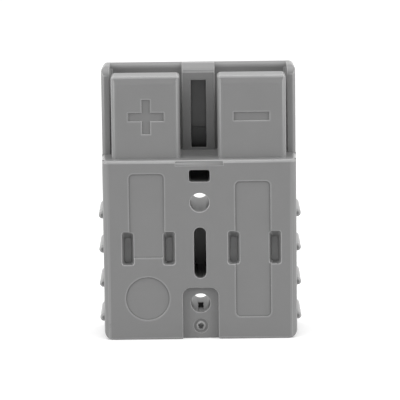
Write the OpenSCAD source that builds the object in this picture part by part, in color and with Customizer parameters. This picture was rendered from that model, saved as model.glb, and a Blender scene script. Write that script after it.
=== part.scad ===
// Genderless two-pole power connector: one moulded housing, two crimp contacts and two leaf springs.
// It mates with a copy of itself turned half a turn about the width axis.
// +Z is the mating direction, X the width, and the towers stand on the -Y half.
// The origin is the middle of the rear face, where the wires go in.

/* [Body] */
// Width of the body without its grip ribs
body_w = 35.6; // [35.2:0.1:38]
// Thickness of the body, front to back
body_t = 16; // [15.8:0.1:17.6]
// Length from the rear face to the shoulder
body_l = 33.1; // [32.4:0.1:38]
// Radius of the long edges of the body
body_edge_r = 1.3; // [0.4:0.1:1.6]
// How much each side falls in from the parting plane to the front and to the back
side_draft = 0.2; // [0:0.05:0.3]
// Radius of the corners beside the rear face
rear_corner_r = 1.5; // [0.4:0.1:2]
// Radius of the edges round the rear face
rear_edge_r = 0.4; // [0.2:0.1:0.8]
// Radius of the front and side edges of the shoulder
shoulder_r = 0.6; // [0.2:0.1:1]
// Distance between the two poles
pole_pitch = 19.3; // [19:0.1:20]

/* [Hood] */
// Rise of the hood above the shoulder
hood_h = 16.1; // [14:0.1:18]
// Thickness of the back wall of the hood
hood_wall = 2; // [1.8:0.1:2.2]
// Thickness of the side walls of the hood
side_wall = 1.58; // [1.2:0.02:1.7]
// Radius of the two upper corners of the hood
hood_corner_r = 0.85; // [0.5:0.05:2]
// Radius of the back edge along the top of the hood
hood_edge_r = 0.6; // [0.3:0.1:0.7]
// Radius of the front edges at the top of the side walls
hood_front_r = 2.2; // [0.6:0.1:2.6]
// Radius of the inner top edge of the back wall
hood_lip_r = 1; // [0.3:0.1:1]
// Radius of the upright inner corners of the hood
hood_inner_r = 0.5; // [0.2:0.1:0.7]

/* [Centre column] */
// Width of the column between the two cavities
column_w = 6.1; // [5:0.02:6.2]
// How far the column stands out of the back wall
column_proud = 1.5; // [1.2:0.1:4]
// Chamfer along the top front edge of the column
column_chamfer = 1.3; // [0.8:0.1:1.4]
// Radius where that chamfer runs out into the face of the column
column_blend_r = 1.2; // [0.4:0.1:1.3]
// Radius of the upright edges of the column
column_edge_r = 0.2; // [0.1:0.05:0.6]
// Width of the slot in the column
column_slot_w = 2.76; // [2:0.02:3.4]
// Distance from the top of the hood down to the slot
column_slot_top = 3.1; // [2:0.1:6]
// Height of the sill under the slot
column_sill = 0.55; // [0.3:0.05:1.5]
// Thickness of the wall left behind the upper part of the slot
column_slot_wall = 0.9; // [0.8:0.1:2]
// Thickness of the wall left behind the pocket at the foot of the slot
column_pocket_wall = 0.5; // [0.4:0.1:0.8]
// Height of that pocket
column_pocket_h = 3.3; // [2:0.1:8]
// How far that pocket goes down behind the sill
column_pocket_sink = 1.2; // [0:0.1:1.4]

/* [Towers] */
// Width of a tower
tower_w = 12.46; // [11.8:0.02:12.6]
// Rise of the towers above the shoulder
tower_h = 15.1; // [13:0.05:15.4]
// Room between a tower and the back wall that slides over it
mate_gap = 0.2; // [0.1:0.05:0.4]
// Set-back of a tower's open face from the mating plane
face_gap = 0.15; // [0.05:0.05:0.3]
// Thickness of the roof of a tower
tower_roof = 1.6; // [1:0.1:2]
// Radius of the upright front edges of a tower
tower_edge_r = 1.1; // [0.4:0.1:1.2]
// Radius of the two top corners of a tower
tower_corner_r = 0.7; // [0.3:0.1:1]
// Radius of the top front edge of a tower
tower_top_r = 0.5; // [0.3:0.1:1.1]
// Length of the lead-in at the tip of a tower
lead_l = 1; // [0.5:0.1:3]
// How far the lead-in falls back
lead_drop = 0.2; // [0.05:0.05:0.3]

/* [Mounting holes and slots] */
// Diameter of the two mounting holes
mount_d = 3.5; // [3:0.05:4.4]
// Height of the lower mounting hole above the rear face
mount_z = 6.5; // [6:0.1:7.4]
// Distance between the mounting holes
mount_pitch = 18.8; // [18.2:0.1:19.4]
// Chamfer round the mounting holes
mount_chamfer = 0.1; // [0.1:0.05:0.4]
// Width of the long slot
slot_w = 2.2; // [1.6:0.1:3]
// Length of the long slot
slot_l = 9.35; // [6:0.05:10.4]
// Height of the middle of the long slot
slot_z = 16; // [15.6:0.1:16.4]
// Width of the key socket under the shoulder
socket_w = 3.75; // [3:0.05:4.4]
// Height of the key socket
socket_h = 2.15; // [1.4:0.05:2.4]
// Distance from the shoulder down to the middle of the key socket
socket_drop = 2.9; // [2.8:0.1:3.4]
// Radius of the corners of the key socket
socket_r = 0.45; // [0.2:0.05:0.6]
// Depth of the long slot and of the key socket
blind_depth = 13; // [8:0.5:14]
// Width of the groove along the bottom of the lower mounting hole
groove_w = 0.9; // [0.6:0.1:1.6]
// Length of that groove across the thickness
groove_l = 8; // [5:0.1:9]
// Distance of the groove from the front face
groove_inset = 2; // [1.5:0.1:3]
// Depth of the groove under the hole
groove_depth = 0.6; // [0.3:0.1:1.5]

/* [Face details] */
// Depth of the label recesses and of the round recess
label_depth = 0.22; // [0.1:0.02:0.4]
// Width of the label recesses
label_w = 6.36; // [5:0.02:7]
// Radius of the corners of the label recesses
label_r = 0.8; // [0.3:0.1:1.5]
// Lower end of the label recess on the positive side
label_pos_z0 = 15.2; // [14.6:0.1:17]
// Upper end of the label recess on the positive side
label_pos_z1 = 30.6; // [26:0.1:31]
// Lower end of the label recess on the negative side
label_neg_z0 = 4.1; // [3:0.1:8]
// Upper end of the label recess on the negative side
label_neg_z1 = 29.1; // [26:0.1:31]
// Diameter of the round recess
disc_d = 7.94; // [6:0.02:9]
// Height of the middle of the round recess
disc_z = 7.6; // [6.4:0.1:9]
// Width of the foot recess round the lower mounting hole
foot_w = 6.5; // [5.6:0.1:7.4]
// Height of the foot recess
foot_h = 9.5; // [9:0.1:10.4]
// Depth of the foot recess
foot_depth = 1; // [0.4:0.1:1.4]
// Radius of the upper corners of the foot recess
foot_r = 1.5; // [0.5:0.1:2]
// Width of the notch left by the mould insert at the shoulder
notch_w = 8.7; // [6:0.1:12]
// Height of that notch
notch_h = 1.05; // [0.6:0.05:1.4]
// Depth of that notch
notch_depth = 0.15; // [0.05:0.05:0.3]
// Diameter of the dish round the moulding gate
gate_d = 2.65; // [2:0.05:3.6]
// Height of the gate above the rear face
gate_z = 2.25; // [2.1:0.05:2.6]
// Depth of the dish
gate_depth = 0.3; // [0.1:0.05:0.5]
// Diameter of the broken-off gate stub
gate_stub_d = 1.1; // [0.6:0.1:1.5]

/* [Windows] */
// Width of a window at the face
window_w = 2.2; // [1.8:0.1:2.4]
// Height of a window at the face
window_h = 6.15; // [5.6:0.05:6.4]
// Height of the sill of the windows above the rear face
window_z = 13.85; // [13.4:0.05:14.4]
// Distance between the two windows of a pole
window_pitch = 7.5; // [7.1:0.1:7.7]
// How far the windows sit to the right of the middle of their pole
window_shift = 0.25; // [0:0.05:0.3]
// Depth of a window
window_depth = 1.8; // [1.2:0.1:3]
// Width left at the floor of a window
window_floor_w = 1.2; // [0.8:0.1:1.6]
// Height left at the floor of a window
window_floor_h = 4.45; // [4:0.05:4.8]
// Rise of the sill of a window towards its floor
window_sill_rise = 0.3; // [0:0.05:0.5]
// Radius of the corners of a window
window_r = 0.45; // [0.2:0.05:0.6]

/* [Grip ribs] */
// Number of grip ribs on each side
rib_count = 4; // [2:1:4]
// Distance between neighbouring ribs
rib_pitch = 6.35; // [5:0.05:7]
// Height of the lowest rib
rib_z = 3.8; // [3:0.1:5]
// Radius of a rib
rib_r = 0.7; // [0.5:0.05:0.9]
// How far a rib stands out of the side
rib_proud = 0.65; // [0.3:0.05:0.7]
// Length of a rib across the thickness
rib_l = 12; // [8:0.1:13]
// Radius round the two ends of a rib
rib_end_r = 0.45; // [0.1:0.05:0.45]

/* [Wire entries] */
// Diameter of a wire entry
entry_d = 11.2; // [10.6:0.1:11.6]
// Depth of a wire entry
entry_l = 11; // [9.5:0.1:11.4]
// Chamfer at the mouth of a wire entry
entry_chamfer = 0.5; // [0.2:0.1:0.8]

/* [Contacts] */
// Outer diameter of the crimp barrel
barrel_d = 7.6; // [7.2:0.05:7.7]
// Bore of the crimp barrel
barrel_bore = 5.6; // [4.6:0.1:6]
// Length of the crimp barrel
barrel_l = 13; // [10:0.1:14]
// Depth of the bore in the barrel
barrel_depth = 12; // [8:0.1:12.5]
// Distance from the bottom of the wire entry to the barrel
barrel_inset = 1.5; // [0.5:0.1:2]
// Length over which the barrel flattens into the tongue
neck_l = 3.5; // [3:0.1:3.9]
// Width of the tongue
tongue_w = 9.4; // [8.4:0.1:9.6]
// Thickness of the tongue
tongue_t = 2.2; // [1.6:0.1:2.4]
// How far the wiping face stands over the mating plane
contact_proud = 0.2; // [0:0.05:0.3]
// Room between the tip of the tongue and the roof of the tower
tip_gap = 0.5; // [0.3:0.1:1]
// Length of the hook at the tip of the tongue
hook_l = 1.4; // [1:0.1:2]
// How far the hook reaches behind the tongue
hook_reach = 1.2; // [0.8:0.1:1.3]
// Room round the contact barrel
barrel_clear = 0.5; // [0.45:0.05:0.6]
// Room beside the tongue
tongue_clear = 0.25; // [0.15:0.05:0.35]
// Room behind the wiping face, where the neck flares out of the tongue
neck_clear = 0.8; // [0.8:0.1:1.4]

/* [Springs] */
// Thickness of the leaf
leaf_t = 0.45; // [0.3:0.05:0.5]
// Width of the leaf
leaf_w = 7.4; // [5:0.1:8]
// Width over the two ears
ear_w = 9.4; // [8.6:0.1:9.6]
// Length of the ears
ear_l = 5; // [3:0.1:5.2]
// Distance from the bottom of the wire entry to the ears
ear_inset = 3.2; // [2:0.1:4]
// Room between the leaf and what it passes
leaf_clear = 0.12; // [0.08:0.01:0.2]
// Length of the turned-back end beyond the crest
leaf_tail_l = 3.6; // [2:0.1:4.5]
// How far the end turns back
leaf_tail_drop = 0.7; // [0.3:0.1:1]

/* [Hidden] */

$fn = 64;
hullFacets = 32; // sides of the rounds inside a hull
windowFacets = 24; // sides of the rounds of the tapered windows
eps = 0.01; // overlap of pieces that are joined
over = 1; // how far a cutter runs past the face it opens
leafSteps = 12; // points along each curve of a leaf

front_y = -body_t / 2;
back_y = body_t / 2;
side_x = body_w / 2;
draft_angle = atan(side_draft / back_y);
edge_y = back_y - body_edge_r; // middle of the round of a long edge
edge_x = side_x - edge_y * tan(draft_angle) - body_edge_r / cos(draft_angle);
pole_x = pole_pitch / 2;
shoulder_z = body_l;
hood_z = shoulder_z + hood_h;
cavity_x = side_x - side_wall;
cavity_y = back_y - hood_wall;
tower_front_y = -(cavity_y - mate_gap);
tower_back_y = -face_gap;
tower_z = shoulder_z + tower_h;
column_y = cavity_y - column_proud;
mount_zs = [mount_z, mount_z + mount_pitch];

barrel_z0 = entry_l + barrel_inset;
barrel_z1 = barrel_z0 + barrel_l;
neck_z = barrel_z1 + neck_l;
chamber_r = barrel_d / 2 + barrel_clear;
tongue_y1 = contact_proud;
tongue_y0 = tongue_y1 - tongue_t;
hook_y = tongue_y0 - hook_reach;
tip_z = tower_z - tower_roof - tip_gap;
throat_x = tongue_w / 2 + tongue_clear;
throat_y0 = hook_y - tongue_clear;
throat_y1 = tongue_y1 + neck_clear;

leaf_y = -(barrel_d / 2 + leaf_clear + leaf_t / 2);
leaf_seat_y = leaf_y - leaf_t / 2 - leaf_clear;
ear_z = entry_l + ear_inset;
leaf_tip_z = tip_z - hook_l - 3 * leaf_clear;
crest_z = leaf_tip_z - leaf_tail_l;
crest_y = tongue_y0 - leaf_t / 2 - leaf_clear / 2;
leaf_bend_z = neck_z;

// Extrudes a shape drawn as X,Z through the thickness, from y0 to y1
module through_y(y0, y1)
    translate([0, y1, 0]) rotate([90, 0, 0]) linear_extrude(y1 - y0) children();

// Extrudes a shape drawn as Y,Z across the width, from x0 to x1
module across_x(x0, x1)
    translate([x0, 0, 0]) rotate([90, 0, 90]) linear_extrude(x1 - x0) children();

// A rectangle from corner to corner
module rect(x0, y0, x1, y1)
    translate([x0, y0]) square([x1 - x0, y1 - y0]);

// What a quarter round of radius r takes off the corner at [x, y]; sx and sy point into the shape
module corner_off(x, y, sx, sy, r)
    translate([x, y]) mirror([sx < 0 ? 1 : 0, 0]) mirror([0, sy < 0 ? 1 : 0])
        difference() {
            translate([-over, -over]) square(r + over);
            translate([r, r]) circle(r);
            translate([r, -over - eps]) square([over, over + r + eps]);
            translate([-over - eps, r]) square([over + r + eps, over]);
        }

// A rectangle with four equal corner rounds
module round_rect(x0, y0, x1, y1, r) {
    rect(x0 + r, y0, x1 - r, y1);
    rect(x0, y0 + r, x1, y1 - r);
    for (x = [x0 + r, x1 - r], y = [y0 + r, y1 - r])
        translate([x, y]) circle(r);
}

// Puts its children at both poles; the second is the mirror image of the first
module both_poles() {
    children();
    mirror([1, 0, 0]) children();
}

// ---- housing ----

// The body from above: each side falls in from the parting plane, with rounds that touch it
module plan_outline() {
    touch = [edge_x + body_edge_r * cos(draft_angle), edge_y + body_edge_r * sin(draft_angle)];
    polygon([[side_x, 0], touch, [edge_x, back_y], [-edge_x, back_y], [-touch[0], touch[1]],
             [-side_x, 0], -touch, [-edge_x, front_y], [edge_x, front_y], [touch[0], -touch[1]]]);
    for (s = [-1, 1], t = [-1, 1])
        translate([s * edge_x, t * edge_y]) circle(body_edge_r);
}

// What comes off the long corners at the rear face and along the top of the hood
module side_corners() both_poles() for (s = [-1, 1])
    translate([side_x, 0, 0]) rotate([0, 0, s * draft_angle])
        through_y(s < 0 ? -body_t : -over, s < 0 ? over : body_t) {
            corner_off(0, 0, -1, 1, rear_corner_r);
            corner_off(0, hood_z, -1, -1, hood_corner_r);
        }

// What comes off the shoulder along its two sides and round its front corners
module shoulder_sides() both_poles() {
    side_l = (edge_y + body_edge_r * sin(draft_angle)) / cos(draft_angle);
    intersection() {
        translate([side_x, 0, 0]) rotate([0, 0, -draft_angle])
            through_y(-side_l, over) corner_off(0, shoulder_z, -1, -1, shoulder_r);
        translate([0, -body_t, 0]) cube([body_w, body_t, hood_z]);
    }
    translate([edge_x, -edge_y, 0]) rotate([0, 0, -90]) rotate_extrude(angle = 90 - draft_angle)
        corner_off(body_edge_r, shoulder_z, -1, -1, shoulder_r);
}

module side_outline() difference() {
    union() {
        rect(front_y, 0, back_y, shoulder_z);
        rect(0, shoulder_z - eps, back_y, hood_z);
    }
    corner_off(front_y, shoulder_z, 1, -1, shoulder_r);
    corner_off(0, hood_z, 1, -1, hood_front_r);
    corner_off(back_y, hood_z, -1, -1, hood_edge_r);
    corner_off(front_y, 0, 1, 1, rear_edge_r);
    corner_off(back_y, 0, -1, 1, rear_edge_r);
}

// Body and hood as one block, before anything is cored out
module shell_block() difference() {
    intersection() {
        across_x(-side_x - over, side_x + over) side_outline();
        linear_extrude(hood_z) plan_outline();
    }
    side_corners();
    shoulder_sides();
}

// The space behind the towers that takes the towers of the other connector
module hood_cavity() {
    translate([0, 0, shoulder_z]) linear_extrude(hood_h + over) difference() {
        rect(-cavity_x, -over, cavity_x, cavity_y);
        for (s = [-1, 1])
            corner_off(s * cavity_x, cavity_y, -s, -1, hood_inner_r);
    }
    across_x(-cavity_x, cavity_x) difference() {
        rect(0, hood_z - hood_lip_r, cavity_y + hood_lip_r, hood_z + over);
        translate([cavity_y + hood_lip_r, hood_z - hood_lip_r]) circle(hood_lip_r);
    }
    for (s = [-1, 1])
        translate([0, 0, shoulder_z]) linear_extrude(hood_h + over)
            corner_off(s * side_x, 0, -s, 1, side_wall / 2);
}

module column() intersection() {
    z = hood_z - column_chamfer - column_blend_r * tan(22.5);
    across_x(-column_w / 2, column_w / 2) {
        polygon([[column_y, shoulder_z - eps], [column_y, z],
                 [column_y + column_blend_r * (1 - cos(45)), z + column_blend_r * sin(45)],
                 [column_y + column_chamfer, hood_z], [back_y - hood_edge_r, hood_z],
                 [back_y - hood_edge_r, shoulder_z - eps]]);
        translate([column_y + column_blend_r, z]) circle(column_blend_r);
    }
    linear_extrude(hood_z)
        round_rect(-column_w / 2, column_y, column_w / 2, back_y, column_edge_r);
}

// The slot in the column, and the deeper pocket at its foot that reaches into the back wall
module column_slot() {
    x = column_slot_w / 2;
    z0 = shoulder_z + column_sill;
    z1 = hood_z - column_slot_top;
    depth = back_y - column_slot_wall - column_y;
    translate([-x, column_y - over, z0]) cube([column_slot_w, depth + over, z1 - z0]);
    translate([-x, column_y + column_sill, z0 - column_pocket_sink])
        cube([column_slot_w, back_y - column_pocket_wall - column_y - column_sill,
              column_pocket_h + column_pocket_sink]);
}

module tower_shape() intersection() {
    through_y(tower_front_y, tower_back_y) difference() {
        rect(pole_x - tower_w / 2, shoulder_z - eps, pole_x + tower_w / 2, tower_z);
        for (s = [-1, 1])
            corner_off(pole_x + s * tower_w / 2, tower_z, -s, -1, tower_corner_r);
    }
    across_x(0, side_x) difference() {
        polygon([[tower_back_y, shoulder_z - eps], [tower_back_y, tower_z],
                 [tower_front_y + lead_drop, tower_z],
                 [tower_front_y + lead_drop, tower_z - tower_top_r],
                 [tower_front_y, tower_z - tower_top_r - lead_l],
                 [tower_front_y, shoulder_z - eps]]);
        corner_off(tower_front_y + lead_drop, tower_z, 1, -1, tower_top_r);
    }
    linear_extrude(tower_z) difference() {
        rect(pole_x - tower_w / 2, tower_front_y, pole_x + tower_w / 2, tower_back_y);
        for (s = [-1, 1])
            corner_off(pole_x + s * tower_w / 2, tower_front_y, -s, 1, tower_edge_r);
    }
}

// Everything cored out for one pole: wire entry, barrel chamber, throat, spring seat and tower
module pole_core() translate([pole_x, 0, 0]) {
    translate([0, 0, -over]) cylinder(d = entry_d, h = entry_l + over);
    translate([0, 0, -eps])
        cylinder(r1 = entry_d / 2 + entry_chamfer, r2 = entry_d / 2, h = entry_chamfer);
    translate([0, 0, entry_l - eps]) cylinder(r = chamber_r, h = neck_z - entry_l);
    translate([-throat_x, throat_y0, entry_l - eps])
        cube([2 * throat_x, throat_y1 - throat_y0, shoulder_z - entry_l + 2 * eps]);
    translate([-leaf_w / 2 - leaf_clear, leaf_seat_y, entry_l - eps])
        cube([leaf_w + 2 * leaf_clear, throat_y0 - leaf_seat_y + eps, shoulder_z - entry_l + 2 * eps]);
    translate([-ear_w / 2 - leaf_clear, leaf_seat_y, entry_l - eps])
        cube([ear_w + 2 * leaf_clear, throat_y0 - leaf_seat_y + eps, ear_inset + ear_l + leaf_clear]);
    translate([-throat_x, leaf_seat_y, shoulder_z])
        cube([2 * throat_x, throat_y1 - leaf_seat_y, tower_h - tower_roof]);
}

module rib(z) translate([side_x + rib_proud - rib_r, 0, z]) rotate([90, 0, 0])
    rotate_extrude() intersection() {
        round_rect(-rib_r, -rib_l / 2, rib_r, rib_l / 2, rib_end_r);
        rect(0, -rib_l / 2, rib_r, rib_l / 2);
    }

// A window that narrows towards its floor
module window() translate([0, front_y, window_z]) hull() {
    through_y(-eps, 0) window_outline(window_w, window_h);
    translate([0, 0, window_sill_rise])
        through_y(window_depth - eps, window_depth) window_outline(window_floor_w, window_floor_h);
}

module window_outline(w, h)
    round_rect(-w / 2, 0, w / 2, h, window_r, $fn = windowFacets);

module windows() for (s = [-1, 1], t = [-1, 1])
    translate([s * pole_x + window_shift + t * window_pitch / 2, 0, 0]) window();

module label_recesses() {
    floor_y = front_y + label_depth;
    through_y(front_y - over, floor_y) difference() {
        rect(-pole_x - label_w / 2, label_pos_z0, -pole_x + label_w / 2, label_pos_z1);
        for (s = [-1, 1])
            corner_off(-pole_x + s * label_w / 2, label_pos_z1, -s, -1, label_r);
    }
    through_y(front_y - over, floor_y)
        round_rect(pole_x - label_w / 2, label_neg_z0, pole_x + label_w / 2, label_neg_z1, label_r);
    through_y(front_y - over, floor_y) translate([-pole_x, disc_z]) circle(d = disc_d);
}

// The same recess is sunk into the front and the back round the lower mounting hole
module foot_recesses() for (s = [-1, 1]) {
    y0 = s < 0 ? front_y - over : back_y - foot_depth;
    through_y(y0, y0 + foot_depth + over) difference() {
        rect(-foot_w / 2, -over, foot_w / 2, foot_h);
        for (t = [-1, 1])
            corner_off(t * foot_w / 2, foot_h, -t, -1, foot_r);
    }
}

// One mounting hole from face to face, chamfered where it meets the faces at y0 and y1
module mounting_hole(z, y0, y1) {
    translate([0, 0, z]) rotate([-90, 0, 0]) {
        translate([0, 0, y0 - over]) cylinder(d = mount_d, h = y1 - y0 + 2 * over);
        translate([0, 0, y0 - eps])
            cylinder(r1 = mount_d / 2 + mount_chamfer, r2 = mount_d / 2, h = mount_chamfer);
        translate([0, 0, y1 - mount_chamfer + eps])
            cylinder(r1 = mount_d / 2, r2 = mount_d / 2 + mount_chamfer, h = mount_chamfer);
    }
}

module long_slot() {
    reach = (slot_l - slot_w) / 2;
    through_y(front_y - over, front_y + blind_depth) {
        rect(-slot_w / 2, slot_z - reach, slot_w / 2, slot_z + reach);
        for (s = [-1, 1])
            translate([0, slot_z + s * reach]) circle(d = slot_w);
    }
}

module key_socket() {
    z = shoulder_z - socket_drop;
    through_y(front_y - over, front_y + blind_depth)
        round_rect(-socket_w / 2, z - socket_h / 2, socket_w / 2, z + socket_h / 2, socket_r);
}

module gate_dish() translate([0, front_y + foot_depth, gate_z]) rotate([-90, 0, 0]) difference() {
    translate([0, 0, -over]) cylinder(d = gate_d, h = gate_depth + over);
    translate([0, 0, gate_depth / 3]) cylinder(d = gate_stub_d, h = gate_depth);
}

module housing() color([0.53, 0.53, 0.53]) difference() {
    union() {
        difference() {
            shell_block();
            hood_cavity();
        }
        column();
        both_poles() tower_shape();
        both_poles() for (i = [0:rib_count - 1]) rib(rib_z + i * rib_pitch);
    }
    both_poles() pole_core();
    windows();
    label_recesses();
    foot_recesses();
    gate_dish();
    mounting_hole(mount_zs[0], front_y + foot_depth, back_y - foot_depth);
    mounting_hole(mount_zs[1], front_y, back_y);
    long_slot();
    key_socket();
    translate([-notch_w / 2, front_y - over, shoulder_z - notch_h])
        cube([notch_w, notch_depth + over, notch_h + eps]);
    translate([-groove_w / 2, front_y + groove_inset, mount_z - mount_d / 2 - groove_depth])
        cube([groove_w, groove_l, mount_d / 2 + groove_depth]);
    column_slot();
}

// ---- contacts ----

module contact_neck() hull() {
    translate([0, 0, barrel_z1 - eps]) cylinder(d = barrel_d, h = eps, $fn = hullFacets);
    translate([-tongue_w / 2, tongue_y0, neck_z - eps]) cube([tongue_w, tongue_t, eps]);
}

// Flat tongue with a rounded tip and the hook that catches behind the end of the spring
module contact_tongue() {
    lead_r = tongue_t / 3;
    intersection() {
        across_x(-tongue_w / 2, tongue_w / 2) difference() {
            union() {
                rect(tongue_y0, neck_z - eps, tongue_y1, tip_z);
                rect(hook_y, tip_z - hook_l, tongue_y0 + eps, tip_z);
            }
            corner_off(tongue_y1, tip_z, -1, -1, lead_r);
            corner_off(hook_y, tip_z, 1, -1, lead_r / 2);
        }
        through_y(hook_y - over, tongue_y1 + over) difference() {
            rect(-tongue_w / 2, neck_z - eps, tongue_w / 2, tip_z);
            for (s = [-1, 1])
                corner_off(s * tongue_w / 2, tip_z, -s, -1, lead_r);
        }
    }
}

module contact() {
    difference() {
        translate([0, 0, barrel_z0]) cylinder(d = barrel_d, h = barrel_l);
        translate([0, 0, barrel_z0 - over]) cylinder(d = barrel_bore, h = barrel_depth + over);
        translate([0, 0, barrel_z0 - eps])
            cylinder(r1 = barrel_bore / 2 + entry_chamfer / 2, r2 = barrel_bore / 2,
                     h = entry_chamfer / 2);
    }
    contact_neck();
    contact_tongue();
}

module contact_positive() color([0.78, 0.77, 0.74]) translate([-pole_x, 0, 0]) contact();
module contact_negative() color([0.78, 0.77, 0.74]) translate([pole_x, 0, 0]) contact();

// ---- springs ----

// Middle line of the leaf as [y, z]: straight up past the barrel, forward to the crest, turned back
function leaf_line() = concat(
    [[leaf_y, ear_z]],
    [for (i = [0:leafSteps]) let (u = i / leafSteps)
        [leaf_y + (crest_y - leaf_y) * (1 - cos(180 * u)) / 2,
         leaf_bend_z + (crest_z - leaf_bend_z) * u]],
    [for (i = [1:leafSteps]) let (u = i / leafSteps)
        [crest_y - leaf_tail_drop * (1 - cos(90 * u)), crest_z + leaf_tail_l * u]]);

// The same line moved sideways by d, for the two faces of the leaf
function beside(line, d) = [for (i = [0:len(line) - 1])
    let (a = line[max(i - 1, 0)], b = line[min(i + 1, len(line) - 1)], t = (b - a) / norm(b - a))
    line[i] + d * [t[1], -t[0]]];

function backwards(list) = [for (i = [len(list) - 1:-1:0]) list[i]];

module retention_spring() {
    across_x(-leaf_w / 2, leaf_w / 2)
        polygon(concat(beside(leaf_line(), leaf_t / 2), backwards(beside(leaf_line(), -leaf_t / 2))));
    translate([-ear_w / 2, leaf_y - leaf_t / 2, ear_z]) cube([ear_w, leaf_t, ear_l]);
}

module retention_spring_positive() color([0.62, 0.62, 0.64])
    translate([-pole_x, 0, 0]) retention_spring();
module retention_spring_negative() color([0.62, 0.62, 0.64])
    translate([pole_x, 0, 0]) retention_spring();

housing();
contact_positive();
contact_negative();
retention_spring_positive();
retention_spring_negative();
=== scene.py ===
import bmesh
import bpy
import math
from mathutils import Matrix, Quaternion, Vector
from mathutils.bvhtree import BVHTree


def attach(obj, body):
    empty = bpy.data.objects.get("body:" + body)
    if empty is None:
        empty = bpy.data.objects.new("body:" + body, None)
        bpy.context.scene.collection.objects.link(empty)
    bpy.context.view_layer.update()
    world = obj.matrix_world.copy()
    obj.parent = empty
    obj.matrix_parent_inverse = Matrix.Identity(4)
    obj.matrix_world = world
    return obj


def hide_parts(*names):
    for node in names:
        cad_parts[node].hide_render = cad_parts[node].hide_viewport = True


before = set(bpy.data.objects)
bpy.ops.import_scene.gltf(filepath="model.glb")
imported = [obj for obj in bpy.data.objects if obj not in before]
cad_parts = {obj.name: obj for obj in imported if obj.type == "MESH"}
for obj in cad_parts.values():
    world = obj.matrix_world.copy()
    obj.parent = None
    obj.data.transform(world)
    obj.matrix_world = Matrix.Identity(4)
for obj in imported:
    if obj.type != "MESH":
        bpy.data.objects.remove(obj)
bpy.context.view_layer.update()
mm = 0.001
print("frame loaded:", ", ".join(sorted(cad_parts)))

gateMiddle = Vector((0.02, -6.8, 2.25)) * mm  # where the moulding gate broke off
signs = {  # the plus and minus signs that are sunk in the tower fronts
    "front": -5.8,  # where the tower fronts lie
    "depth": 0.25,
    "stroke": 1.5,
    "plus": (-9.57, 40.75), "across": 6.45, "upright": 6.3,
    "minus": (9.6, 40.72), "dash": 6.4,
}


def signBars():  # middle, width and height of each bar: those that lie level, then the upright one
    stroke = signs["stroke"]
    level = [(signs["plus"], signs["across"], stroke), (signs["minus"], signs["dash"], stroke)]
    upright = [(signs["plus"], stroke, signs["upright"])]
    return level, upright


class Link:  # an output socket that can stand in a sum
    def __init__(self, graph, socket):
        self.graph = graph
        self.socket = socket

    def other(self, name):  # another output of the same node
        return Link(self.graph, self.socket.node.outputs[name])

    def __add__(self, other):
        return self.graph.maths("ADD", self, other)

    def __radd__(self, other):
        return self.graph.maths("ADD", other, self)

    def __sub__(self, other):
        return self.graph.maths("SUBTRACT", self, other)

    def __rsub__(self, other):
        return self.graph.maths("SUBTRACT", other, self)

    def __mul__(self, other):
        return self.graph.maths("MULTIPLY", self, other)

    def __rmul__(self, other):
        return self.graph.maths("MULTIPLY", other, self)

    def __abs__(self):
        return self.graph.maths("ABSOLUTE", self)


class Graph:  # a node tree that is being built
    def __init__(self, tree):
        self.tree = tree

    def node(self, kind, settings=None, inputs=None, output=0):
        made = self.tree.nodes.new(kind)
        for name, value in (settings or {}).items():
            setattr(made, name, value)
        for key, value in (inputs or {}).items():
            if isinstance(value, Link):
                self.tree.links.new(value.socket, made.inputs[key])
            else:
                made.inputs[key].default_value = value
        return Link(self, made.outputs[output]) if made.outputs else None

    def maths(self, operation, *parts):
        return self.node("ShaderNodeMath", {"operation": operation}, dict(enumerate(parts)))

    def vectors(self, operation, *parts, output=0):
        return self.node("ShaderNodeVectorMath", {"operation": operation}, dict(enumerate(parts)), output)


def newMaterial(name):
    made = bpy.data.materials.new(name)
    made.use_nodes = True
    made.node_tree.nodes.clear()
    return made, Graph(made.node_tree)


def grey(level):
    return (level, level, level, 1.0)


def noise(graph, place, scale, detail=2.0, roughness=0.5):
    return graph.node("ShaderNodeTexNoise", None, {
        "Vector": place, "Scale": scale, "Detail": detail, "Roughness": roughness})


def stretched(graph, place, scale):
    return graph.node("ShaderNodeMapping", None, {"Vector": place, "Scale": scale})


def swing(texture, amount):  # a texture as a swing to both sides of 0
    return (texture - 0.5) * amount


def between(graph, mask, first, second):  # one colour where the mask is 0, the other where it is 1
    return graph.node("ShaderNodeMix", {"data_type": "RGBA"}, {0: mask, 6: first, 7: second}, 2)


def ramp(graph, value, start, end, low=0.0, high=1.0, kind="LINEAR"):  # low at the start, high at the end
    return graph.node("ShaderNodeMapRange", {"interpolation_type": kind}, {
        "Value": value, "From Min": start, "From Max": end, "To Min": low, "To Max": high})


def pastOutline(graph, place, middle, half, corner):  # how far outside a rounded rectangle across X and Z
    centre = Vector((middle[0], 0.0, middle[1])) * mm
    straight = Vector((half[0] - corner, 1.0 / mm, half[1] - corner)) * mm  # so long that Y never counts
    apart = graph.vectors("ABSOLUTE", graph.vectors("SUBTRACT", place, centre))
    past = graph.vectors("MAXIMUM", graph.vectors("SUBTRACT", apart, straight), Vector())
    return graph.vectors("LENGTH", past, output=1) - corner * mm


def line(graph, past, middle, width):  # 1 on the middle of a line along an outline, 0 beside it
    return ramp(graph, abs(past - middle), width, 0.0, kind="SMOOTHSTEP")


def bumped(graph, height, distance, strength=1.0, over=None):
    inputs = {"Height": height, "Distance": distance, "Strength": strength}
    if over:
        inputs["Normal"] = over
    return graph.node("ShaderNodeBump", None, inputs)


def finishMaterial(graph, inputs):
    surface = graph.node("ShaderNodeBsdfPrincipled", None, inputs)
    graph.node("ShaderNodeOutputMaterial", None, {"Surface": surface})


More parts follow.
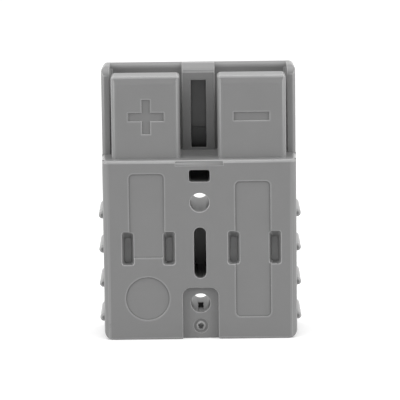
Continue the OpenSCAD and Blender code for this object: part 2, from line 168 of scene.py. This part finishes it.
def makeHousingPlastic():
    look = {
        "dark": 0.2, "light": 0.226,  # the two tones that the cloudiness of the moulding runs between
        "paintedHighlight": 0.38,  # painted highlight, on rounded edges and along the outlines of the recesses and signs
        "paintedShade": 0.008,  # painted shade, down in the column slot, over the sign floors and along the inner edges of the recesses and signs
        "cloud": 170.0, "cloudTone": 0.8, "cloudRoughness": 0.16,
        "waveHeight": 0.012 * mm, "waveStrength": 0.6,
        "grain": 5200.0, "grainTone": 0.4, "grainRoughness": 0.1, "grainHeight": 0.004 * mm,
        "roughness": 0.34,
        # the painted highlight on the edges is patchy with the cloud, and those edges are a little less
        # rough
        "highlightPatches": 0.5, "highlightGloss": 0.08,
        "slotTop": 38.3 * mm, "slotFoot": 36.3 * mm,  # heights between which the painted shade in the slot deepens
        # how much painted shade the slot gets at its top and at its foot, and how patchy it is
        "shadeAtSlotTop": 0.5, "shadeAtSlotFoot": 0.965, "shadePatches": 0.2,
        "ring": 0.17 * mm,  # half the width of the painted highlight and painted shade lines along the edges of the recesses
        # ringPale: painted highlight just outside each outline; ringDark: painted shade just inside it
        "ringPale": 0.34, "ringPatches": 0.8, "ringDark": 0.22, "ringInside": 0.6,
        # signDark: painted shade over the floors of the signs
        "signDark": 0.1, "signCorner": 0.01,
        "recessBack": -7.7, "signBack": -5.4,  # the lines are drawn in front of these
    }
    recesses = [  # middle, half sizes and corner radius
        ((-9.65, 22.9), (3.18, 7.7), 0.8),
        ((9.65, 16.6), (3.18, 12.5), 0.8),
        ((-9.65, 7.6), (3.97, 3.97), 3.97),
    ]
    bars = [(middle, (wide / 2, tall / 2), look["signCorner"])
            for cut in signBars() for middle, wide, tall in cut]
    marks = [(recesses, look["recessBack"], 0.0), (bars, look["signBack"], look["signDark"])]
    made, graph = newMaterial("housing_plastic")
    place = graph.node("ShaderNodeTexCoord").other("Object")
    split = graph.node("ShaderNodeSeparateXYZ", None, {0: place})
    cloud = noise(graph, place, look["cloud"], detail=4.0)
    grain = noise(graph, place, look["grain"], detail=3.0, roughness=0.6)
    # painted highlight along the rounded edges
    edgeHighlight = graph.node("ShaderNodeAttribute", {"attribute_name": "edgeHighlightMask"}).other("Fac")
    mix = 0.5 + swing(cloud, look["cloudTone"]) + swing(grain, look["grainTone"])
    body = between(graph, mix, grey(look["dark"]), grey(look["light"]))
    colour = between(graph, edgeHighlight * (1.0 + swing(cloud, look["highlightPatches"])), body, grey(look["paintedHighlight"]))
    for outlines, back, floorDark in marks:
        away = pastOutline(graph, place, *outlines[0])
        for outline in outlines[1:]:
            away = graph.maths("MINIMUM", away, pastOutline(graph, place, *outline))
        here = graph.maths("LESS_THAN", split.other("Y"), back * mm)
        # painted highlight just outside each outline, painted shade just inside it and over the sign floors
        pale = line(graph, away, look["ring"], look["ring"]) * here * look["ringPale"]
        pale = pale * (1.0 + swing(cloud, look["ringPatches"]))
        dark = line(graph, away, -look["ringInside"] * look["ring"], look["ring"]) * here * look["ringDark"]
        floor = graph.maths("LESS_THAN", away, 0.0) * here * floorDark
        colour = between(graph, pale, colour, grey(look["paintedHighlight"]))
        colour = between(graph, graph.maths("MAXIMUM", dark, floor), colour, grey(look["paintedShade"]))
    # painted shade down in the column slot, deepest towards its foot
    inSlot = graph.node("ShaderNodeAttribute", {"attribute_name": "inSlot"}).other("Fac")
    slotShade = ramp(graph, split.other("Z"), look["slotTop"], look["slotFoot"],
                look["shadeAtSlotTop"], look["shadeAtSlotFoot"], "SMOOTHSTEP")
    slotShade = inSlot * slotShade * (1.0 + swing(cloud, look["shadePatches"]))
    colour = between(graph, slotShade, colour, grey(look["paintedShade"]))
    uneven = swing(cloud, look["cloudRoughness"]) + swing(grain, look["grainRoughness"])
    wave = bumped(graph, cloud, look["waveHeight"], look["waveStrength"])
    skin = bumped(graph, grain, look["grainHeight"], over=wave)
    finishMaterial(graph, {
        "Base Color": colour, "Roughness": look["roughness"] + uneven - edgeHighlight * look["highlightGloss"],
        "IOR": 1.5, "Normal": skin})
    return made


def makeContactPlate():
    look = {
        "bright": (0.78, 0.77, 0.74, 1.0),
        "tarnish": (0.62, 0.56, 0.46, 1.0),
        "cloud": 320.0, "filmFrom": 0.48, "filmTo": 0.75, "filmMost": 0.55,  # the film of tarnish
        "lines": (6000.0, 6000.0, 260.0),  # marks of rolling, drawn out along the part
        "roughness": 0.27, "filmRoughness": 0.3, "lineRoughness": 0.12,
        "lineHeight": 0.003 * mm, "lineStrength": 0.7,
    }
    made, graph = newMaterial("contact_plate")
    place = graph.node("ShaderNodeTexCoord").other("Object")
    cloud = noise(graph, place, look["cloud"], detail=5.0, roughness=0.6)
    lines = noise(graph, stretched(graph, place, look["lines"]), 1.0, detail=3.0)
    film = ramp(graph, cloud, look["filmFrom"], look["filmTo"], high=look["filmMost"])
    roughness = look["roughness"] + film * look["filmRoughness"] + swing(lines, look["lineRoughness"])
    finishMaterial(graph, {
        "Base Color": between(graph, film, look["bright"], look["tarnish"]),
        "Metallic": 1.0, "Roughness": roughness,
        "Normal": bumped(graph, lines, look["lineHeight"], look["lineStrength"])})
    return made


def makeSpringSteel():
    look = {
        "bright": (0.62, 0.62, 0.64, 1.0),
        "dull": (0.47, 0.47, 0.49, 1.0),
        "cloud": 260.0, "cloudTone": 0.5,
        "lines": (9000.0, 900.0, 160.0), "lineTone": 0.7,  # marks of rolling, drawn out along the strip
        "roughness": 0.33, "lineRoughness": 0.18, "cloudRoughness": 0.1,
        "lineHeight": 0.004 * mm, "lineStrength": 0.8,
    }
    made, graph = newMaterial("spring_steel")
    place = graph.node("ShaderNodeTexCoord").other("Object")
    lines = noise(graph, stretched(graph, place, look["lines"]), 1.0, detail=4.0, roughness=0.6)
    cloud = noise(graph, place, look["cloud"], detail=3.0)
    mix = 0.5 + swing(lines, look["lineTone"]) + swing(cloud, look["cloudTone"])
    uneven = swing(lines, look["lineRoughness"]) + swing(cloud, look["cloudRoughness"])
    finishMaterial(graph, {
        "Base Color": between(graph, mix, look["dull"], look["bright"]),
        "Metallic": 1.0, "Roughness": look["roughness"] + uneven,
        "Normal": bumped(graph, lines, look["lineHeight"], look["lineStrength"])})
    return made


def makeTornPlastic():  # broken plastic, pale where it stretched and nearly black with pale specks in its middle
    look = {
        "pale": 0.34, "dark": 0.012, "speck": 0.12,
        "tear": 3800.0, "speckFrom": 0.52, "speckTo": 0.64,
        "core": 0.5 * mm, "rim": 0.12 * mm, "ragged": 0.4 * mm,  # the dark core and its edge
        "roughness": 0.6, "tearRoughness": -0.2, "tearHeight": 0.03 * mm,
    }
    made, graph = newMaterial("torn_plastic")
    place = graph.node("ShaderNodeTexCoord").other("Object")
    tear = noise(graph, place, look["tear"], detail=4.0, roughness=0.65)
    away = graph.vectors("DISTANCE", place, gateMiddle, output=1) + swing(tear, look["ragged"])
    specks = ramp(graph, tear, look["speckFrom"], look["speckTo"])
    core = between(graph, specks, grey(look["dark"]), grey(look["speck"]))
    mask = ramp(graph, away, look["core"], look["core"] + look["rim"])
    finishMaterial(graph, {
        "Base Color": between(graph, mask, core, grey(look["pale"])),
        "Roughness": look["roughness"] + swing(tear, look["tearRoughness"]),
        "Normal": bumped(graph, tear, look["tearHeight"])})
    return made


plastic = makeHousingPlastic()
tornPlastic = makeTornPlastic()
plate = makeContactPlate()
steel = makeSpringSteel()
print("materials made")


def makeCamera():
    view = {
        "elevation": 9.7,  # degrees above the horizon
        "roll": 0.67,  # degrees that the camera leans to its right
        "distance": 553.0 * mm,
        "aim": Vector((0.08, 0.0, 24.42)) * mm,
        "lens": 270.25,
        "sensor": 36.0,
        "nearest": 0.02, "farthest": 20.0,
    }
    data = bpy.data.cameras.new("camera")
    data.lens = view["lens"]
    data.sensor_width = view["sensor"]
    data.clip_start = view["nearest"]
    data.clip_end = view["farthest"]
    camera = bpy.data.objects.new("camera", data)
    bpy.context.scene.collection.objects.link(camera)
    tilt = math.radians(view["elevation"])
    ahead = Vector((0.0, math.cos(tilt), -math.sin(tilt)))
    camera.location = view["aim"] - ahead * view["distance"]
    camera.rotation_mode = "QUATERNION"
    lean = Quaternion((0.0, 0.0, 1.0), -math.radians(view["roll"]))
    camera.rotation_quaternion = ahead.to_track_quat("-Z", "Y") @ lean
    bpy.context.scene.camera = camera


def shownRays(graph):  # 1 for rays that show the floor and backdrop, 0 for those that bring their light
    path = graph.node("ShaderNodeLightPath")
    mirrored = graph.maths("MAXIMUM", path, path.other("Is Glossy Ray"))
    return graph.maths("MAXIMUM", mirrored, path.other("Is Transmission Ray"))


def makeFloor():
    floor = {
        "size": 4.0, "drop": 0.05 * mm,
        "tone": 0.8, "cloud": 30.0, "cloudTone": 0.01, "lift": 0.25,  # as it is seen
        "bounce": 0.42,  # as it lights the part
    }
    made, graph = newMaterial("floor_white")
    shown = shownRays(graph)
    place = graph.node("ShaderNodeTexCoord").other("Object")
    cloud = noise(graph, place, floor["cloud"], detail=3.0)
    tone = between(graph, cloud, grey(floor["tone"] - floor["cloudTone"]), grey(floor["tone"]))
    matt = graph.node("ShaderNodeBsdfDiffuse", None, {"Color": tone})
    glow = graph.node("ShaderNodeEmission", None, {"Color": grey(1.0), "Strength": floor["lift"]})
    lifted = graph.node("ShaderNodeAddShader", None, {0: matt, 1: glow})
    dim = graph.node("ShaderNodeBsdfDiffuse", None, {"Color": grey(floor["bounce"])})
    mixed = graph.node("ShaderNodeMixShader", None, {0: shown, 1: dim, 2: lifted})
    graph.node("ShaderNodeOutputMaterial", None, {"Surface": mixed})
    half = floor["size"] / 2
    corners = [(-half, -half), (half, -half), (half, half), (-half, half)]
    mesh = bpy.data.meshes.new("floor")
    mesh.from_pydata([(x, y, -floor["drop"]) for x, y in corners], [], [(0, 1, 2, 3)])
    mesh.materials.append(made)
    plane = bpy.data.objects.new("floor", mesh)
    bpy.context.scene.collection.objects.link(plane)


def makeBackdrop():
    walls = {  # light of a white tent that is open in front and has the bright backdrop behind
        "sides": 0.62, "opening": 0.124, "backdrop": 0.95,
        "openFrom": 0.7, "openTo": 0.95, "backFrom": 0.3, "backTo": 0.7,  # cosines off straight ahead
    }
    world = bpy.data.worlds.new("studio")
    bpy.context.scene.world = world
    world.use_nodes = True
    world.node_tree.nodes.clear()
    graph = Graph(world.node_tree)
    shown = shownRays(graph)
    way = graph.node("ShaderNodeTexCoord").other("Generated")
    ahead = graph.vectors("DOT_PRODUCT", way, (0.0, -1.0, 0.0), output=1)
    opening = ramp(graph, ahead, walls["openFrom"], walls["openTo"])
    behind = ramp(graph, ahead, -walls["backFrom"], -walls["backTo"])
    tone = between(graph, opening, grey(walls["sides"]), grey(walls["opening"]))
    tone = between(graph, behind, tone, grey(walls["backdrop"]))
    room = graph.node("ShaderNodeBackground", None, {"Color": tone, "Strength": 1.0})
    white = graph.node("ShaderNodeBackground", None, {"Color": grey(1.0), "Strength": 1.0})
    mixed = graph.node("ShaderNodeMixShader", None, {0: shown, 1: room, 2: white})
    graph.node("ShaderNodeOutputWorld", None, {"Surface": mixed})


def makeLights():
    lamps = {
        "key_softbox": {"place": (0.0, -0.25, 0.8), "size": (0.9, 0.4), "power": 1.6},
        "top_softbox": {"place": (0.0, 0.1, 0.76), "size": (1.2, 0.6), "power": 2.4},
        "left_softbox": {"place": (-0.72, -0.3, 0.22), "size": (0.6, 0.7), "power": 4.4},
        "right_softbox": {"place": (0.72, -0.3, 0.22), "size": (0.6, 0.7), "power": 4.4},
    }
    target = Vector((0.0, 0.0, 24.0)) * mm
    for name, lamp in lamps.items():
        data = bpy.data.lights.new(name, "AREA")
        data.shape = "RECTANGLE"
        data.size, data.size_y = lamp["size"]
        data.energy = lamp["power"]
        box = bpy.data.objects.new(name, data)
        bpy.context.scene.collection.objects.link(box)
        box.location = lamp["place"]
        box.rotation_mode = "QUATERNION"
        box.rotation_quaternion = (target - box.location).to_track_quat("-Z", "Y")


makeCamera()
makeFloor()
makeBackdrop()
makeLights()
bpy.context.scene.view_settings.view_transform = "Standard"
print("studio ready")


def mergedCopy(nodeName, pieceName, apart=0.001 * mm, flatAngle=0.5):  # a CAD node's mesh, joined up
    work = bmesh.new()
    work.from_mesh(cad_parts[nodeName].data)
    bmesh.ops.remove_doubles(work, verts=work.verts, dist=apart)
    bmesh.ops.dissolve_limit(work, angle_limit=math.radians(flatAngle), verts=work.verts, edges=work.edges)
    flaps = [face for face in work.faces if any(edge.is_boundary for edge in face.edges)]
    bmesh.ops.delete(work, geom=flaps, context="FACES")
    mesh = bpy.data.meshes.new(pieceName)
    work.to_mesh(mesh)
    work.free()
    if "custom_normal" in mesh.attributes:
        mesh.attributes.remove(mesh.attributes["custom_normal"])
    piece = bpy.data.objects.new(pieceName, mesh)
    bpy.context.scene.collection.objects.link(piece)
    return piece


def bakeMesh(piece):  # what the modifiers make becomes the mesh, and they go
    depsgraph = bpy.context.evaluated_depsgraph_get()
    baked = bpy.data.meshes.new_from_object(piece.evaluated_get(depsgraph))
    baked.name = piece.name
    piece.modifiers.clear()
    piece.data = baked


def reachFrom(edge, face):  # how far a face reaches from one of its edges
    start = edge.verts[0].co
    along = (edge.verts[1].co - start).normalized()
    return max((vertex.co - start).cross(along).length for vertex in face.verts)


def keepToSurface(piece, surface, outside=0.003 * mm, away=0.1 * mm):  # pulls back what a bevel threw off
    for vertex in piece.data.vertices:
        near, normal, _, distance = surface.find_nearest(vertex.co)
        if (vertex.co - near).dot(normal) > outside or distance > away:
            vertex.co = near


def markEdgeHighlight(piece):  # a mask for the painted highlight: 0 on flats and in hollows, towards 1 the sharper an outer edge is rounded
    edgeHighlight = {
        "gentle": 0.5 / mm, "sharp": 2.6 / mm,  # bends, in radians for each metre
        "leastTurn": 0.1,  # radians between two faces, under which they count as one
        "widest": 0.25 * mm,  # faces that reach further than this are no part of a rounded edge
        "narrowest": 0.02 * mm,
    }
    work = bmesh.new()
    work.from_mesh(piece.data)
    highlightLayer = work.verts.layers.float.new("edgeHighlightMask")
    wide = {face for face in work.faces
            if min(reachFrom(edge, face) for edge in face.edges) > edgeHighlight["widest"]}
    for vertex in work.verts:
        if not wide.isdisjoint(vertex.link_faces):
            continue
        bend = 0.0
        for edge in vertex.link_edges:
            if edge.is_manifold and edge.calc_length() > 0.0:
                turn = edge.calc_face_angle_signed(0.0)
                if turn > edgeHighlight["leastTurn"]:
                    width = sum(reachFrom(edge, face) for face in edge.link_faces) / 2
                    bend = max(bend, turn / max(width, edgeHighlight["narrowest"]))
        vertex[highlightLayer] = min(1.0, max(0.0, (bend - edgeHighlight["gentle"]) / (edgeHighlight["sharp"] - edgeHighlight["gentle"])))
    work.to_mesh(piece.data)
    work.free()


def foldedFaces(work, slack=0.0005 * mm * mm):  # faces whose outline may cross itself
    filled = {}
    for loops in work.calc_loop_triangles():
        first, second, third = (loop.vert.co for loop in loops)
        face = loops[0].face
        filled[face] = filled.get(face, 0.0) + (second - first).cross(third - first).length / 2
    return [face for face, area in filled.items()
            if len(face.verts) > 4 and area - face.calc_area() > slack]


def findCrossing(face):  # two edges of a face that cross, each as edge, first corner and share of the way
    turn = face.normal.to_track_quat("Z", "Y").to_matrix().inverted()
    middle = face.calc_center_median()
    loops = list(face.loops)
    flat = [(turn @ (loop.vert.co - middle)).to_2d() for loop in loops]
    along = [flat[(i + 1) % len(flat)] - flat[i] for i in range(len(flat))]
    for i in range(len(flat)):
        for j in range(i + 2, len(flat) if i else len(flat) - 1):
            slope = along[i].cross(along[j])
            if slope:
                shares = [(flat[j] - flat[i]).cross(along[k]) / slope for k in (j, i)]
                if all(0.0 < share < 1.0 for share in shares):
                    return [(loops[k].edge, loops[k].vert, share) for k, share in zip((i, j), shares)]
    return None


def mendFaces(piece, most=1000):  # where the outline of a face crosses itself, the face is parted in two
    work = bmesh.new()
    work.from_mesh(piece.data)
    folded = foldedFaces(work)
    while folded and most:
        face = folded.pop()
        crossing = findCrossing(face) if face.is_valid and len(face.verts) > 3 else None
        if crossing:
            most -= 1
            corners = [bmesh.utils.edge_split(*half)[1] for half in crossing]
            other, _ = bmesh.utils.face_split(face, *corners)
            bmesh.ops.pointmerge(work, verts=corners, merge_co=(corners[0].co + corners[1].co) / 2)
            folded += [face, other]
    work.to_mesh(piece.data)
    work.free()


def roomAlong(edge, sharp, share=0.38, slide=0.9):  # how wide an edge can be rounded without folds
    room = share * min(reachFrom(edge, face) for face in edge.link_faces)
    for loop in edge.link_loops:
        after = loop.link_loop_next
        for beside, corner in ((loop.link_loop_prev.edge, loop.vert), (after.edge, after.vert)):
            if beside not in sharp:
                along = (edge.other_vert(corner).co - corner.co).normalized()
                room = min(room, slide * along.cross(beside.other_vert(corner).co - corner.co).length)
    return room


def roundEdges(piece, width, segments=2, sharpAngle=28.0, leastReach=0.1 * mm, creaseAngle=42.0):
    work = bmesh.new()
    work.from_mesh(piece.data)
    surface = BVHTree.FromBMesh(work)
    layers = work.edges.layers.float
    weight = layers.get("bevel_weight_edge") or layers.new("bevel_weight_edge")
    sharp = {edge for edge in work.edges
             if edge.is_manifold and edge.calc_face_angle_signed(0.0) > math.radians(sharpAngle)
             and min(reachFrom(edge, face) for face in edge.link_faces) > leastReach}
    for edge in sharp:
        edge[weight] = min(1.0, roomAlong(edge, sharp) / width)
    work.to_mesh(piece.data)
    work.free()
    rounder = piece.modifiers.new("rounder", "BEVEL")
    rounder.limit_method = "WEIGHT"
    rounder.width = width
    rounder.segments = segments
    rounder.use_clamp_overlap = False
    bakeMesh(piece)
    keepToSurface(piece, surface)
    markEdgeHighlight(piece)
    mendFaces(piece)
    piece.data.shade_smooth()
    piece.data.set_sharp_from_angle(angle=math.radians(creaseAngle))
    evener = piece.modifiers.new("evener", "WEIGHTED_NORMAL")
    evener.keep_sharp = True
    bakeMesh(piece)


def makeTree(name, sizes):  # a geometry tree with named inputs; the modifier is set by their identifiers
    tree = bpy.data.node_groups.new(name, "GeometryNodeTree")
    tree.interface.new_socket("Geometry", in_out="OUTPUT", socket_type="NodeSocketGeometry")
    tree.interface.new_socket("Geometry", in_out="INPUT", socket_type="NodeSocketGeometry")
    for label, kind in sizes.items():
        tree.interface.new_socket(label, in_out="INPUT", socket_type=kind)
    graph = Graph(tree)
    return tree, graph, graph.node("NodeGroupInput")


def finishTree(graph, shape, finish):
    real = graph.node("GeometryNodeRealizeInstances", None, {"Geometry": shape})
    painted = graph.node("GeometryNodeSetMaterial", None, {"Geometry": real, "Material": finish})
    graph.node("NodeGroupOutput", None, {"Geometry": painted})


def bakeTree(name, points, tree, sizes, fields=None):  # a new piece from loose points and a tree
    mesh = bpy.data.meshes.new(name)
    mesh.from_pydata(points, [], [])
    for label, entries in (fields or {}).items():
        field = mesh.attributes.new(label, "FLOAT_VECTOR", "POINT")
        for item, entry in zip(field.data, entries):
            item.vector = entry
    piece = bpy.data.objects.new(name, mesh)
    bpy.context.scene.collection.objects.link(piece)
    maker = piece.modifiers.new(name, "NODES")
    maker.node_group = tree
    inputs = {item.name: item.identifier for item in tree.interface.items_tree if item.in_out == "INPUT"}
    for label, size in sizes.items():
        maker[inputs[label]] = size
    bakeMesh(piece)
    return piece


def sink(piece, cutter):  # takes the cutter's shape out of a piece
    saw = piece.modifiers.new("saw", "BOOLEAN")
    saw.operation = "DIFFERENCE"
    saw.solver = "EXACT"
    saw.object = cutter
    bakeMesh(piece)
    piece.data.polygons.foreach_set("material_index", [0] * len(piece.data.polygons))
    while len(piece.data.materials) > 1:
        piece.data.materials.pop()
    bpy.data.objects.remove(cutter)


def sinkSigns(housing):
    tree, graph, given = makeTree("signBars", {"Depth": "NodeSocketFloat", "Finish": "NodeSocketMaterial"})
    bar = graph.node("GeometryNodeInputNamedAttribute", {"data_type": "FLOAT_VECTOR"}, {"Name": "barSize"})
    deep = graph.node("ShaderNodeCombineXYZ", None, {"X": 1.0, "Y": given.other("Depth"), "Z": 1.0})
    block = graph.node("GeometryNodeMeshCube", None, {"Size": (1.0, 1.0, 1.0)})
    bars = graph.node("GeometryNodeInstanceOnPoints", None, {
        "Points": given, "Instance": block, "Scale": graph.vectors("MULTIPLY", bar, deep)})
    finishTree(graph, bars, given.other("Finish"))
    for cut in signBars():  # bars that cross are cut one after the other
        middles = [Vector((middle[0], signs["front"], middle[1])) * mm for middle, _, _ in cut]
        sizes = [Vector((wide * mm, 1.0, tall * mm)) for _, wide, tall in cut]
        sink(housing, bakeTree("sign_cutter", middles, tree,
                               {"Depth": 2 * signs["depth"] * mm, "Finish": plastic}, {"barSize": sizes}))


def markSlot(piece):  # marks the faces down in the column slot, which get painted shade
    slot = {"half": 1.4, "front": 4.55, "back": 7.9, "foot": 32.3, "head": 46.12}
    marked = piece.data.attributes.new("inSlot", "FLOAT", "FACE")
    for face in piece.data.polygons:
        x, y, z = (value / mm for value in face.center)
        inPlan = abs(x) < slot["half"] and slot["front"] < y < slot["back"]
        marked.data[face.index].value = float(inPlan and slot["foot"] < z < slot["head"])


def makeHousing():
    housing = mergedCopy("housing", "moulded_housing")
    housing.data.materials.append(plastic)
    sinkSigns(housing)
    roundEdges(housing, width=0.16 * mm)
    markSlot(housing)
    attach(housing, "root")
    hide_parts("housing")
    print("housing:", len(housing.data.polygons), "faces")


def makeGateScar():  # the torn stub that the moulding gate leaves in its dish
    scar = {"radius": 0.86, "height": 0.26, "ragged": 0.28, "grain": 3.4, "seed": 7.0}
    tree, graph, given = makeTree("gateScar", {
        "Radius": "NodeSocketFloat", "Height": "NodeSocketFloat", "Ragged": "NodeSocketFloat",
        "Grain": "NodeSocketFloat", "Seed": "NodeSocketFloat", "Finish": "NodeSocketMaterial"})
    ball = graph.node("GeometryNodeMeshIcoSphere", None, {"Radius": 1.0, "Subdivisions": 4})
    size = graph.node("ShaderNodeCombineXYZ", None, {
        "X": given.other("Radius"), "Y": given.other("Height"), "Z": given.other("Radius")})
    shaped = graph.node("GeometryNodeTransform", None, {"Geometry": ball, "Scale": size})
    place = graph.node("GeometryNodeInputPosition")
    torn = graph.node("ShaderNodeTexNoise", {"noise_dimensions": "4D"}, {
        "Vector": place, "W": given.other("Seed"), "Scale": given.other("Grain"),
        "Detail": 4.0, "Roughness": 0.7}, 1)
    centred = graph.vectors("SUBTRACT", torn, (0.5, 0.5, 0.5))
    offset = graph.node("ShaderNodeVectorMath", {"operation": "SCALE"}, {
        0: centred, "Scale": given.other("Ragged")})
    rough = graph.node("GeometryNodeSetPosition", None, {"Geometry": shaped, "Offset": offset})
    moved = graph.node("GeometryNodeInstanceOnPoints", None, {"Points": given, "Instance": rough})
    finishTree(graph, moved, given.other("Finish"))
    piece = bakeTree("gate_scar", [gateMiddle], tree, {
        "Radius": scar["radius"] * mm, "Height": scar["height"] * mm, "Ragged": scar["ragged"] * mm,
        "Grain": scar["grain"] / mm, "Seed": scar["seed"], "Finish": tornPlastic})
    piece.data.shade_smooth()
    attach(piece, "root")
    print("gate scar:", len(piece.data.polygons), "faces")


def makeMetalPart(nodeName, pieceName, finish, width):
    piece = mergedCopy(nodeName, pieceName)
    piece.data.materials.append(finish)
    roundEdges(piece, width)
    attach(piece, "root")
    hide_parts(nodeName)
    print(pieceName + ":", len(piece.data.polygons), "faces")


makeHousing()
makeGateScar()
for pole in ("positive", "negative"):
    makeMetalPart("contact_" + pole, "crimp_contact_" + pole, plate, width=0.2 * mm)
    makeMetalPart("retention_spring_" + pole, "leaf_spring_" + pole, steel, width=0.12 * mm)
